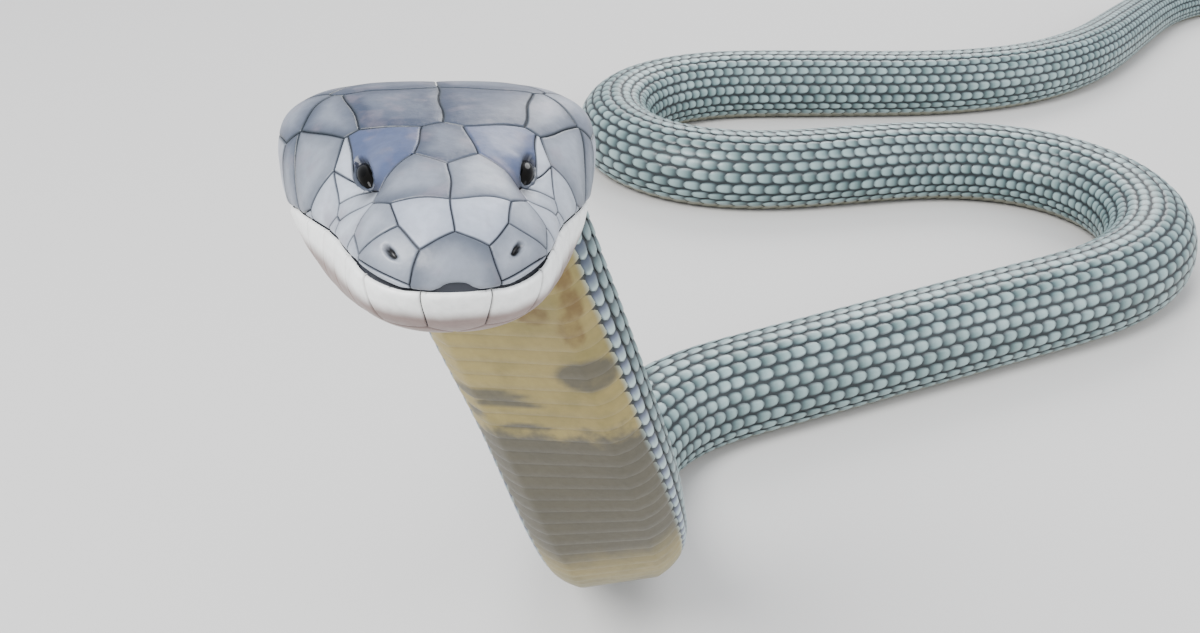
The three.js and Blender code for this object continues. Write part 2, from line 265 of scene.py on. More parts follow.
def unit(v):
    return v / np.maximum(np.linalg.norm(v, axis=-1, keepdims=True), 1e-9)


def normal(s, angle):
    """Outward directions on the body's plain form, from places close by."""
    ds, da = 0.6, 0.012
    around = surface(s, angle + da) - surface(s, angle - da)
    low = np.maximum(s - ds, 0.05)
    along = surface(s + ds, angle) - surface(low, angle)
    return unit(np.cross(around, along))


def raised_surface(s, angle, lift):
    return surface(s, angle) + normal(s, angle) * np.asarray(lift)[..., None]


def head_frame(along, degrees):
    """A place on the head with its directions round it, back along it and out of it."""
    at, angle = np.array(along), np.radians(degrees)
    out = normal(at, angle)
    back = unit(walk_along[0] - out * (walk_along[0] @ out))
    return surface(at, angle), np.cross(back, out), back, out


def eye_gap(points, eye):
    """Millimetres outside the edge of an eye's opening, less than 0 inside it."""
    middle, around, back, _ = eye
    away = points - middle
    part = np.hypot(away @ back / EYE_OPENING[0], away @ around / EYE_OPENING[1])
    distance = np.linalg.norm(away, axis=-1)
    return np.where(distance < EYE["reach"], distance * (1 - 1 / np.maximum(part, 0.05)), FAR)


def eye_hollow(points, eye):
    """1 in the hollow just in front of an eye, 0 away from it."""
    away = points - eye[0] + eye[2] * EYE_HOLLOW["ahead"]
    return np.exp(-(away**2).sum(-1) / EYE_HOLLOW["radius"] ** 2)


def nostril_gap(points, nostril):
    """1 on the rim of a nostril's slit, less inside it, large elsewhere."""
    middle, around, back, _ = nostril
    away = points - middle
    gap = np.hypot(away @ back / NOSTRIL["half_length"], away @ around / NOSTRIL["half_height"])
    return np.where(np.linalg.norm(away, axis=1) < NOSTRIL["reach"], gap, FAR)


head_side, head_along, head_up = walk_side[0], walk_along[0], walk_up[0]
eyes = [head_frame(EYE["along"], sign * EYE["angle"]) for sign in (1, -1)]
nostrils = [head_frame(NOSTRIL["along"], sign * NOSTRIL["angle"]) for sign in (1, -1)]


# Shader maths


class Wire:
    """A shader socket that can be used in expressions."""

    def __init__(self, look, socket):
        self.look, self.socket = look, socket

    def _math(self, operation, *values):
        return self.look.node("ShaderNodeMath", {"operation": operation}, dict(enumerate(values)))

    def __add__(self, other):
        return self._math("ADD", self, other)

    def __sub__(self, other):
        return self._math("SUBTRACT", self, other)

    def __mul__(self, other):
        return self._math("MULTIPLY", self, other)

    def __truediv__(self, other):
        return self._math("DIVIDE", self, other)

    def __pow__(self, other):
        return self._math("POWER", self, other)

    def __radd__(self, other):
        return self._math("ADD", other, self)

    def __rsub__(self, other):
        return self._math("SUBTRACT", other, self)

    def __rmul__(self, other):
        return self._math("MULTIPLY", other, self)

    def __rtruediv__(self, other):
        return self._math("DIVIDE", other, self)

    def low(self, other):
        return self._math("MINIMUM", self, other)

    def high(self, other):
        return self._math("MAXIMUM", self, other)

    def clear(self):
        """Held between 0 and 1."""
        return self.low(1.0).high(0.0)

    def rise(self, start, end):
        """Rises smoothly from 0 at start to 1 at end."""
        return self.look.node(
            "ShaderNodeMapRange",
            {"interpolation_type": "SMOOTHSTEP"},
            {"Value": self, "From Min": start, "From Max": end, "To Min": 0.0, "To Max": 1.0},
        )


class Look:
    """A node material with one surface shader."""

    def __init__(self, name, **constants):
        self.material = bpy.data.materials.new(name)
        self.material.use_nodes = True
        self.tree = self.material.node_tree
        self.shader = self.tree.nodes["Principled BSDF"]
        for socket, value in constants.items():
            self.shader.inputs[socket.replace("_", " ")].default_value = value

    def node(self, kind, settings=None, inputs=None, output=0):
        made = self.tree.nodes.new(kind)
        for name, value in (settings or {}).items():
            setattr(made, name, value)
        for key, value in (inputs or {}).items():
            self.link(value, made.inputs[key])
        return Wire(self, made.outputs[output])

    def link(self, value, socket):
        if isinstance(value, Wire):
            self.tree.links.new(value.socket, socket)
        elif value is not None:
            socket.default_value = value

    def attribute(self, name):
        return self.node("ShaderNodeAttribute", {"attribute_name": name}, output="Fac")

    def noise(self, size, detail=3.0):
        """Soft noise from 0 to 1 whose patches are about `size` metres across."""
        at = self.node("ShaderNodeTexCoord", output="Object")
        return self.node(
            "ShaderNodeTexNoise",
            {},
            {"Vector": at, "Scale": 1 / size, "Detail": detail, "Roughness": 0.55},
        )

    def mix(self, amount, a, b, blend="MIX"):
        """Colour a with an amount of colour b laid over it."""
        made = self.tree.nodes.new("ShaderNodeMix")
        made.data_type = "RGBA"
        made.blend_type = blend
        for value, socket in ((amount, 0), (a, 6), (b, 7)):
            self.link(value if isinstance(value, (Wire, float)) else (*value, 1.0), made.inputs[socket])
        return Wire(self, made.outputs[2])

    def bump(self, height, depth):
        return self.node("ShaderNodeBump", {}, {"Height": height, "Strength": 1.0, "Distance": depth})

    def finish(self, **inputs):
        for socket, value in inputs.items():
            self.link(value, self.shader.inputs[socket.replace("_", " ")])
        return self.material


def srgb(*levels):
    """A linear colour from three display levels of 0 to 255."""
    return tuple(((c / 255 + 0.055) / 1.055) ** 2.4 if c > 10 else c / 255 / 12.92 for c in levels)


# Mesh making


def add_values(mesh, label, values):
    layer = mesh.attributes.new(label, "FLOAT", "POINT")
    layer.data.foreach_set("value", np.asarray(values, np.float32).ravel())


def mesh_object(name, points, faces, look, attributes=None, uv=None):
    """A mesh from points in millimetres. faces is an array of quads or triangles."""
    faces = np.asarray(faces, np.int32)
    mesh = bpy.data.meshes.new(name)
    mesh.vertices.add(len(points))
    mesh.vertices.foreach_set("co", (np.asarray(points, np.float32) * MM).ravel())
    corners = faces.shape[1]
    mesh.loops.add(faces.size)
    mesh.loops.foreach_set("vertex_index", faces.ravel())
    mesh.polygons.add(len(faces))
    mesh.polygons.foreach_set("loop_start", np.arange(0, faces.size, corners, dtype=np.int32))
    for label, values in (attributes or {}).items():
        add_values(mesh, label, values)
    if uv is not None:
        mesh.uv_layers.new(name="OFBake").data.foreach_set("uv", np.asarray(uv, np.float32).ravel())
    mesh.update(calc_edges=True)
    mesh.validate()
    mesh.polygons.foreach_set("use_smooth", np.full(len(mesh.polygons), True))
    piece = bpy.data.objects.new(name, mesh)
    bpy.context.scene.collection.objects.link(piece)
    mesh.materials.append(look)
    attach(piece, "root")
    return piece


def grid_faces(rows, columns, closed=False):
    """Quads of a grid of points stored row by row."""
    across = np.arange(columns if closed else columns - 1)
    r, c = np.meshgrid(np.arange(rows - 1), across, indexing="ij")
    a = r * columns + c
    b = r * columns + (c + 1) % columns
    return np.stack([a, b, b + columns, a + columns], -1).reshape(-1, 4)


STRIPS = 8
SCALE_UV = 0.003


def unwrapped(s, angle):
    """Place of the skin on its unwrap: the body cut into strips laid side by side."""
    strip = np.clip(np.floor(s / (LENGTH / STRIPS)), 0, STRIPS - 1)
    u = s / (LENGTH / STRIPS) - strip
    v = (strip + (np.mod(angle, 2 * np.pi)) / (2 * np.pi)) / STRIPS
    return np.stack([0.01 + 0.98 * u, 0.01 + 0.98 * v], -1)


def many_faces(across, along, count):
    """The quads of many small grids of the same kind, one after the other."""
    first = (np.arange(count) * across * along)[:, None, None]
    return (grid_faces(along, across)[None] + first).reshape(-1, 4)


def many_uv(root, angle, u, w, faces):
    """A small square of the unwrap for each scale, at the place of its root."""
    own = np.stack([u - 0.5, w * 0.5], -1)[None] * SCALE_UV
    uv = unwrapped(root, angle) + own
    return uv.reshape(-1, 2)[faces.ravel()]


# Camera

FRAME_WIDTH = 1200
FOCAL_PIXELS = 1300
CAMERA_HEIGHT = 0.542
CAMERA_TILT = 60
camera_data = bpy.data.cameras.new("camera")
camera_data.sensor_width = 36.0
camera_data.lens = 36.0 * FOCAL_PIXELS / FRAME_WIDTH
camera = bpy.data.objects.new("camera", camera_data)
camera.location = (-ORIGIN[0] * MM, -ORIGIN[1] * MM, CAMERA_HEIGHT)
camera.rotation_euler = (math.radians(CAMERA_TILT), 0, 0)
bpy.context.scene.collection.objects.link(camera)
bpy.context.scene.camera = camera

# Head shields

FINE_END = 114
HEAD_ROWS = np.concatenate([[0.15, 0.45, 0.9, 1.5, 2.3, 3.2], np.arange(4.0, FINE_END, 0.85)])
HEAD_COLUMNS = 260

# Swellings and hollows on each side of the head, and the dip in the middle of the crown:
# height, distance, degrees from the middle, radius.
RELIEF = [
    (1.0, 39, 31, 7),
    (0.9, 38, 38, 3.5),
    (0.9, 75, 74, 14),
    (-1.1, 27, 50, 6),
    (-0.9, EYE["along"], EYE["angle"] + 3, 6),
    (0.4, 9, 62, 5),
    (0.7, 50, 82, 11),
]
CROWN_DIP = (-0.7, 66, 0, 15)


def head_relief(points):
    """How far brows, eye hollows and temples stand from the plain head form."""
    lift = np.zeros(len(points))
    marks = [(sign, mark) for sign in (1, -1) for mark in RELIEF] + [(1, CROWN_DIP)]
    for sign, (height, along, degrees, radius) in marks:
        middle = surface(np.array(along), np.radians(sign * degrees))
        lift += height * np.exp(-((points - middle) ** 2).sum(-1) / radius**2)
    return lift


def mouth_height(t):
    return np.interp(t, MOUTH_LINE[:, 0], MOUTH_LINE[:, 1])


def lip_edge(points, lower):
    """How far places stand inside the lip, above the mouth or below it."""
    local = points - (SNOUT - ORIGIN)
    across, back = local @ head_side, local @ head_along
    height = local @ head_up - mouth_height(back)
    open_lips = 1 - ease((back - MOUTH_CORNER + 3) / 4)
    if lower:
        return -0.08 - 0.22 * open_lips - height
    notch = 2.1 * np.exp(-((across / 4.0) ** 4)) * (back < 9)
    parted = 0.9 * np.exp(-(((back - 8) / 5) ** 2)) * ease((np.abs(across) - 8) / 4)
    return height - 0.08 - 0.27 * open_lips - notch - parted


def wavering(points):
    """A slow sway that takes the straightness out of the seams between shields."""
    x, y, z = points.T
    return 0.32 * np.stack(
        [
            np.sin(y / 3.1 + z / 5.3 + 1.0) + 0.5 * np.sin(z / 2.1 - x / 4.7),
            np.sin(x / 3.7 - z / 4.1 + 2.2) + 0.5 * np.sin(x / 2.3 + y / 5.9),
            np.sin(x / 4.3 + y / 3.3 + 0.4) + 0.5 * np.sin(y / 2.2 - z / 3.9),
        ],
        -1,
    )


# Every shield grows round a seed. A greater share moves its seams outward.
seeds, seed_names, seed_shares = [], [], []


def add_seeds(label, t, degrees, share, signs=(1, -1)):
    for sign in signs:
        seeds.append((t, sign * math.radians(degrees)))
        seed_names.append(label)
        seed_shares.append(share)


for label, mark in MIDDLE_SHIELDS.items():
    add_seeds(label, *mark, signs=(1,))
for label, mark in PAIRED_SHIELDS.items():
    add_seeds(label, *mark)
for mark in NAPE:
    add_seeds("nape", *mark)
for t, first, last in UNDER_JAW:
    for degrees in range(first, last - 1, -UNDER_JAW_STEP):
        add_seeds("under_jaw", t, degrees, 0, (1, -1) if degrees < 180 else (1,))
seeds = np.array(seeds)
seed_points = surface(seeds[:, 0], seeds[:, 1])
seed_shares = np.array(seed_shares, float)
seed_lower = np.array([n.startswith(("lower", "chin", "mental", "under")) for n in seed_names])
seed_nape = np.array([n == "nape" for n in seed_names])

# The head's surface as one fine grid, which the shields are cut out of.
SHIELD_LIFT = 0.45
grid_t, grid_a = (
    m.ravel()
    for m in np.meshgrid(
        HEAD_ROWS, np.linspace(0, 2 * np.pi, HEAD_COLUMNS, endpoint=False), indexing="ij"
    )
)
grid_points = surface(grid_t, grid_a)
grid_lift = head_relief(grid_points) + SHIELD_LIFT
grid_points = grid_points + normal(grid_t, grid_a) * grid_lift[:, None]
grid_quads = grid_faces(len(HEAD_ROWS), HEAD_COLUMNS, closed=True)
nose_tip = surface(np.array([0.0]), np.array([0.0]))[0] - walk_along[0] * SHIELD_LIFT
grid_swayed = grid_points + wavering(grid_points)
grid_lip = [lip_edge(grid_points, lower) for lower in (False, True)]

# Half the width of a seam, how far in the edge rolls, and how deep it goes.
SHIELD_SEAM = 0.1
SHIELD_ROLL = 0.5
SHIELD_DEPTH = 0.55
# How far beyond a shield's own ground its piece of the grid and its neighbours are taken.
SPARE_GROUND = 70
SPARE_LIP = 3
NEIGHBOUR_REACH = 60
# Cuts inside the rim and the lip, so that the rolled edge has points to bend at.
RIM_CUTS = (0.15, 0.5)
LIP_CUTS = (0.2, 0.6, 1.2)
OPEN_RIM = 20.0


def flat_cut(form, at, across, clear):
    everything = form.verts[:] + form.edges[:] + form.faces[:]
    bmesh.ops.bisect_plane(
        form, geom=everything, dist=1e-5, plane_co=at, plane_no=across, clear_outer=clear
    )


def shield_ground(own, group):
    """The grid round one shield, in the swayed space that its straight cuts are made in."""
    lower = seed_lower[own]
    power = ((grid_swayed[:, None, :] - seed_points[None, group]) ** 2).sum(-1) - seed_shares[group]
    mine = ((grid_swayed - seed_points[own]) ** 2).sum(-1) - seed_shares[own]
    near = mine < power.min(1) + SPARE_GROUND
    near &= grid_lip[int(lower)] > -SPARE_LIP
    near &= grid_t < HEAD_END + 6
    quads = grid_quads[near[grid_quads].all(1)]
    used, inverse = np.unique(quads, return_inverse=True)
    form = bmesh.new()
    true = form.verts.layers.float_vector.new("true")
    verts = [form.verts.new(p) for p in grid_swayed[used]]
    for vert, at in zip(verts, grid_points[used]):
        vert[true] = at
    for quad in inverse.reshape(-1, 4):
        form.faces.new([verts[k] for k in quad])
    if seed_names[own] in ("rostral", "mental"):
        tip = form.verts.new(nose_tip)
        tip[true] = nose_tip
        first = {int(g): verts[n] for n, g in enumerate(used) if g < HEAD_COLUMNS}
        for k in range(HEAD_COLUMNS):
            pair = (k, (k + 1) % HEAD_COLUMNS)
            if pair[0] in first and pair[1] in first:
                form.faces.new([tip, first[pair[1]], first[pair[0]]])
    return form, true


def cut_to_seams(form, own, group):
    """Cuts a shield off at the seams with its neighbours. Gives each point's way to the rim."""
    planes = []
    for other in np.flatnonzero(group):
        toward = seed_points[other] - seed_points[own]
        reach = np.linalg.norm(toward)
        if reach < 0.01 or reach > NEIGHBOUR_REACH:
            continue
        half = (reach**2 + seed_shares[own] - seed_shares[other]) / (2 * reach) - SHIELD_SEAM
        at, across = seed_points[own] + toward / reach * half, toward / reach
        outside = ((np.array([v.co[:] for v in form.verts]) - at) @ across).max()
        if outside < -2.5:
            continue
        if outside > -1e-4:
            flat_cut(form, at, across, True)
        planes.append((at, across))
    for at, across in planes:
        for inward in RIM_CUTS:
            flat_cut(form, at - across * inward, across, False)
    rims = np.full(len(form.verts), OPEN_RIM)
    swayed = np.array([v.co[:] for v in form.verts])
    for at, across in planes:
        rims = np.minimum(rims, -((swayed - at) @ across))
    return rims


def shield_patch(own):
    """The part of the head's surface that is one shield, with its ways to the rim and lip."""
    lower = seed_lower[own]
    group = (seed_lower == lower) | seed_nape
    form, true = shield_ground(own, group)
    rims = cut_to_seams(form, own, group)
    form.verts.index_update()
    rim_layer = form.verts.layers.float.new("rim")
    for vert, rim in zip(form.verts, np.maximum(rims, 0)):
        vert[rim_layer] = rim
    # The shield is straightened along the curve of the lip, so that one flat cut follows it.
    at = np.array([v[true][:] for v in form.verts])
    for vert, height in zip(form.verts, lip_edge(at, lower)):
        vert.co = (vert[true][0], vert[true][1], height)
    flat_cut(form, (0, 0, 0), (0, 0, -1), True)
    for inward in LIP_CUTS:
        flat_cut(form, (0, 0, inward), (0, 0, -1), False)
    for vert in form.verts:
        vert.co = vert[true]
    bmesh.ops.triangulate(form, faces=form.faces[:])
    form.normal_update()
    points = np.array([v.co[:] for v in form.verts])
    normals = np.array([v.normal[:] for v in form.verts])
    rim = np.array([v[rim_layer] for v in form.verts])
    form.verts.index_update()
    faces = np.array([[v.index for v in f.verts] for f in form.faces], np.int32)
    form.free()
    lip = np.maximum(lip_edge(points, lower), 0)
    behind = (points - (SNOUT - ORIGIN)) @ head_along > MOUTH_CORNER - 1
    rim = np.where(behind, np.minimum(rim, lip), rim)
    return points, normals, faces, rim, np.where(behind, OPEN_RIM, lip)


def shield_lift(points, rim, lip):
    """How far a shield's points stand out, and how much painted shade lies in its nostril pits, round
    the eye openings and in the hollows ahead of the eyes.
    """
    roll = 1 - (1 - np.clip(rim / SHIELD_ROLL, 0, 1)) ** 2
    lift = -SHIELD_DEPTH + SHIELD_DEPTH * np.sqrt(roll) + 0.15 * ease(rim / 5)
    lift -= 1.1 * (1 - np.sqrt(1 - (1 - np.clip(lip / 1.4, 0, 1)) ** 2))
    # Painted shade: colour darkened in the nostril pits, round each eye opening and in the hollows
    # ahead of the eyes, where shade falls.
    painted_shade = np.zeros(len(points))
    for nostril in nostrils:
        gap = nostril_gap(points, nostril)
        lift -= 2.2 * ease((1.7 - gap) / 1.2)
        painted_shade = np.maximum(painted_shade, ease((1.9 - gap) / 1.1))
    for eye in eyes:
        gap, front = eye_gap(points, eye), eye_hollow(points, eye)
        lift -= 1.6 * ease((1.0 - gap) / 1.7)
        lift -= front
        painted_shade = np.maximum(painted_shade, 0.8 * ease((1.5 - gap) / 1.5))
        painted_shade = np.maximum(painted_shade, 0.8 * front)
    return lift, painted_shade


UV_CELLS = 12
UV_HALF_CELL = 0.036


def shield_uv(order, points, faces):
    """A shield seen from above and behind, in a square of its own."""
    cell = np.array([(order % UV_CELLS) + 0.5, (order // UV_CELLS) + 0.5]) / (UV_CELLS + 1)
    away = points - points.mean(0)
    flat = np.stack([away @ head_side, away @ head_along + 0.7 * (away @ head_up)], -1)
    flat = cell + flat / max(np.abs(flat).max(), 1) * UV_HALF_CELL
    return flat[faces].reshape(-1, 2)


def build_head_shields():
    all_points, all_faces, uvs = [], [], []
    labels = ("rim", "light", "blue", "jaw", "back", "shaded_hollow", "lip", "nape")
    values = {label: [] for label in labels}
    count = 0
    for order, own in enumerate(np.flatnonzero(~seed_nape)):
        points, normals, faces, rim, lip = shield_patch(own)
        if len(faces) < 4:
            continue
        lift, painted_shade = shield_lift(points, rim, lip)
        all_points.append(points + normals * lift[:, None])
        all_faces.append(faces + count)
        count += len(points)
        tones = (v for k, v in SHIELD_TONES.items() if seed_names[own].startswith(k))
        light, blue = next(tones, PLAIN_TONE)
        local = points - (SNOUT - ORIGIN)
        height, back = local @ head_up, local @ head_along
        own_values = (
            rim,
            light + 0.1 * rng.random() - 0.05,
            blue,
            float(seed_lower[own]),
            ease((back - 42) / 18),
            painted_shade,
            height - mouth_height(back),
            ease((back - 84) / 14) * ease((height + 22) / 8),
        )
        for label, value in zip(labels, own_values):
            values[label].append(value + np.zeros(len(points)))
        uvs.append(shield_uv(order, points, faces))
    return mesh_object(
        "head_shields",
        np.vstack(all_points),
        np.vstack(all_faces),
        shield_look(),
        {label: np.concatenate(parts) for label, parts in values.items()},
        np.vstack(uvs),
    )


# How light each shield is, and how blue.
PLAIN_TONE = (0.5, 0.0)
SHIELD_TONES = {
    "rostral": (0.3, 0.0),
    "internasal": (1.0, 0.3),
    "prefrontal": (0.34, 0.05),
    "frontal": (0.1, 0.15),
    "supraocular": (-0.08, 0.85),
    "parietal": (-0.02, 0.2),
    "occipital": (0.04, 0.18),
    "nasal": (0.55, 0.0),
    "preocular": (0.8, 0.0),
    "postocular": (1.0, 0.0),
    "temporal_1": (0.5, 0.0),
    "temporal_3": (0.24, 0.1),
    "temporal": (0.32, 0.12),
    "cheek": (0.9, 0.0),
    "upper_lip": (0.85, 0.0),
}
SHIELD_DEEP = srgb(24, 38, 58)
SHIELD_PALE = srgb(178, 185, 196)
SHIELD_SLATE = srgb(84, 98, 138)
SHIELD_MAUVE = srgb(122, 112, 122)
# Colours of the dark joints between shields, also used for the painted shade beside them.
SEAM_SHADE_FRONT = srgb(66, 72, 82)
SEAM_SHADE_BACK = srgb(30, 40, 48)
LIP_WHITE = srgb(246, 247, 244)
CHIN_PINK = srgb(128, 108, 102)
CHIN_SEAM = srgb(140, 134, 130)
NAPE_GRAY = srgb(108, 118, 128)
# Colour of the painted shade in the nostril pits, round the eyes and ahead of them.
PIT_SHADE = srgb(12, 11, 12)
FINE_GRAY = srgb(110, 112, 116)


def shield_look():
    look = Look("head_shield_skin", Roughness=0.4, Coat_Weight=0.1, Coat_Roughness=0.3)
    rim, light, blue = look.attribute("rim"), look.attribute("light"), look.attribute("blue")
    jaw, back, shaded_hollow, lip = (look.attribute(n) for n in ("jaw", "back", "shaded_hollow", "lip"))
    cloudy, patchy = look.noise(0.022, 2.0), look.noise(0.009, 3.0)
    fine = look.noise(0.0022, 4.0)
    # Each shield is painted darker toward its rim and lighter in its middle, a painted shading of its
    # dome; the rest is its own tone and mottling.
    shade = light + rim.rise(0.5, 6.0) * 0.22 - 0.11 + (cloudy - 0.5) * 0.45 + (patchy - 0.5) * 0.2
    top = look.mix(shade.clear(), SHIELD_DEEP, SHIELD_PALE)
    top = look.mix(blue * 0.6, top, SHIELD_SLATE)
    top = look.mix(patchy.rise(0.52, 0.72) * 0.35, top, SHIELD_MAUVE)
    seam_and_shade = look.mix(back, SEAM_SHADE_FRONT, SEAM_SHADE_BACK)
    top = look.mix((1 - rim.rise(0.0, back * 0.4 + 0.45)) * 0.85, top, seam_and_shade)
    # A soft band of painted shade beside each seam, wider than the dark joint and stronger toward the
    # back of the head.
    top = look.mix((1 - rim.rise(0.1, 1.7)) * (0.08 + back * 0.14), top, seam_and_shade)
    under = look.mix((lip * -1 + (patchy - 0.5) * 2).rise(4.5, 10.0), LIP_WHITE, CHIN_PINK)
    under = look.mix(look.attribute("nape") * 0.7, under, NAPE_GRAY)
    under = look.mix((1 - rim.rise(0.0, 0.5)) * 0.22, under, CHIN_SEAM)
    skin = look.mix(jaw, top, under)
    skin = look.mix(fine.rise(0.3, 0.8) * 0.16, skin, FINE_GRAY, "MULTIPLY")
    # Painted shade laid over the nostril pits, round the eyes and ahead of them.
    skin = look.mix(shaded_hollow, skin, PIT_SHADE)
    return look.finish(Base_Color=skin, Roughness=0.36 + fine * 0.16, Normal=look.bump(fine, 0.00012))


# Skin under the shields and scales

SKIN_DARK = srgb(26, 36, 40)
SKIN_BELLY = srgb(110, 98, 70)
SKIN_HEAD = srgb(34, 38, 48)
SKIN_CLOUD = srgb(70, 68, 62)
# How deep the skin lies under the scales and under the head shields.
COAT_DEPTH = 0.9
SHIELD_BED = 0.12
# How far skin, scales and scutes sink where the rearmost shields lie over them.
NAPE_SINK = 1.3
TAIL_FROM = 3000


def belly_edge(s):
    """Angle from the middle of the back to the edge of the belly, wider round on the trunk."""
    return np.radians(115.3 + 12.7 * ease((np.asarray(s) - 430) / 200))


def nape_sink(s):
    """How far scales and scutes are sunk, so that the first of them lie under the shields."""
    return NAPE_SINK * (1 - ease((s - HEAD_END + 7) / 10))


BODY_ROWS = np.concatenate([np.arange(FINE_END, 700, 3.0), np.arange(700, 3596, 6.0), [3598.5]])
SKIN_COLUMNS = 96


def skin_look():
    look = Look("dark_skin", Roughness=0.6)
    belly = look.attribute("belly")
    cloudy = look.noise(0.006, 3.0)
    skin = look.mix(belly, SKIN_DARK, SKIN_BELLY)
    skin = look.mix(cloudy * 0.4, skin, SKIN_CLOUD, "MULTIPLY")
    skin = look.mix(look.attribute("head"), skin, SKIN_HEAD)
    return look.finish(Base_Color=skin, Normal=look.bump(cloudy, 0.0003))


def build_skin():
    rows = np.concatenate([[0.15, 0.6, 1.4, 2.6], np.arange(4.0, FINE_END, 1.2), BODY_ROWS])
    spread = np.linspace(0, 2 * np.pi, SKIN_COLUMNS, endpoint=False)
    # Columns crowd toward the line of the mouth.
    spread = spread + 0.12 * np.sin(2 * spread)
    t, a = (m.ravel() for m in np.meshgrid(rows, spread, indexing="ij"))
    points = surface(t, a)
    on_head = 1 - ease((t - HEAD_END + 2) / 12)
    lift = head_relief(points) * on_head - COAT_DEPTH * (1 - on_head) - SHIELD_BED * on_head
    lift -= NAPE_SINK * ease((t - 86) / 5) * (1 - ease((t - HEAD_END - 2) / 8))
    _, height = section(t, a)
    at_mouth = np.exp(-(((height - mouth_height(t)) / 1.3) ** 2))
    at_mouth *= 1 - ease((t - MOUTH_CORNER + 4) / 6)
    lift -= 3.0 * at_mouth * ease(t / 3)
    for eye, nostril in zip(eyes, nostrils):
        lift -= 4.0 * ease((2.4 - eye_gap(points, eye)) / 1.6) + 1.6 * eye_hollow(points, eye)
        lift -= 4.0 * ease(1 - (np.linalg.norm(points - nostril[0], axis=1) - 1.5) / 2.5)
    thin = np.clip(station(1, t) / 20, 0.25, 1)
    lift = np.where(t > TAIL_FROM, lift * thin, lift)
    points = points + normal(t, a) * lift[:, None]
    nose = surface(np.array([0.0]), np.array([0.0]))
    tail = place(np.array([LENGTH - 0.4]), np.zeros(1), np.zeros(1))
    faces = grid_faces(len(rows), SKIN_COLUMNS, closed=True)
    # A fan of triangles closes each end.
    front, back, last = len(points), len(points) + 1, (len(rows) - 1) * SKIN_COLUMNS
    k = np.arange(SKIN_COLUMNS)
    n = (k + 1) % SKIN_COLUMNS
    front_cap = np.stack([n, k, np.full_like(k, front)], -1)
    back_cap = np.stack([last + k, last + n, np.full_like(k, back)], -1)
    round_back = np.abs(np.mod(a + np.pi, 2 * np.pi) - np.pi)
    belly = ease((round_back - belly_edge(t)) / 0.1) * ease((t - 90) / 20)
    mesh = bpy.data.meshes.new("snake_skin")
    all_points = np.vstack([points, nose, tail]) * MM
    all_faces = faces.tolist() + front_cap.tolist() + back_cap.tolist()
    mesh.from_pydata(all_points.tolist(), [], all_faces)
    for label, values in (("belly", belly), ("head", 1 - ease((t - 95) / 12))):
        add_values(mesh, label, np.append(values, [0, 0]))
    mesh.update()
    mesh.polygons.foreach_set("use_smooth", np.full(len(mesh.polygons), True))
    piece = bpy.data.objects.new("snake_skin", mesh)
    bpy.context.scene.collection.objects.link(piece)
    mesh.materials.append(skin_look())
    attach(piece, "root")
    return piece


# Scales of the back and sides

ROW_COUNT = 17
SCALE_PITCH = 12.6
NECK_PITCH = 8.8
# A scale's length over the pitch, the share of it before its root, and its half width
# over the width of a row.
SCALE_REACH = 1.24
SCUTE_REACH = 1.22
ROOT_SHARE = 0.1
SCALE_HALF_WIDTH = 0.46
# The pieces the scales are made as, each from one distance to another.
SCALE_REGIONS = [
    ("neck_scales", 0, 660),
    ("trunk_scales_1", 660, 1300),
    ("trunk_scales_2", 1300, 1900),
    ("trunk_scales_3", 1900, 2600),
    ("tail_scales", 2600, LENGTH),
]


def leaf(across, along):
    """One scale: place along it, half width there and place across it, on a small grid."""
    u, v = np.meshgrid(np.linspace(0, 1, along), np.linspace(-1, 1, across), indexing="ij")
    half = np.sin(np.pi * np.clip(u, 0, 1) ** 0.85 * 0.93 + 0.12) ** 0.38
    half = np.where(u > 0.985, half * 0.5, half)
    return u.ravel(), (v * half).ravel(), v.ravel()


def scale_stations():
    """Distances at which rings of scales are rooted, closer on the neck and tail."""
    stations = [HEAD_END - 13.0]
    while stations[-1] < LENGTH - 16:
        s = stations[-1]
        girth = station(1, np.array(s)) / TRUNK_HALF_WIDTH
        pitch = NECK_PITCH + (SCALE_PITCH - NECK_PITCH) * ease((s - 200) / 500)
        stations.append(s + float(max(pitch * min(1.0, 0.25 + 0.75 * girth), 2.6)))
    return np.array(stations)


def scale_size(s):
    """Thickness of scales and scutes against those of the trunk, less on the thin tail."""
    return np.clip(station(1, s) / TRUNK_HALF_WIDTH, 0.12, 1)


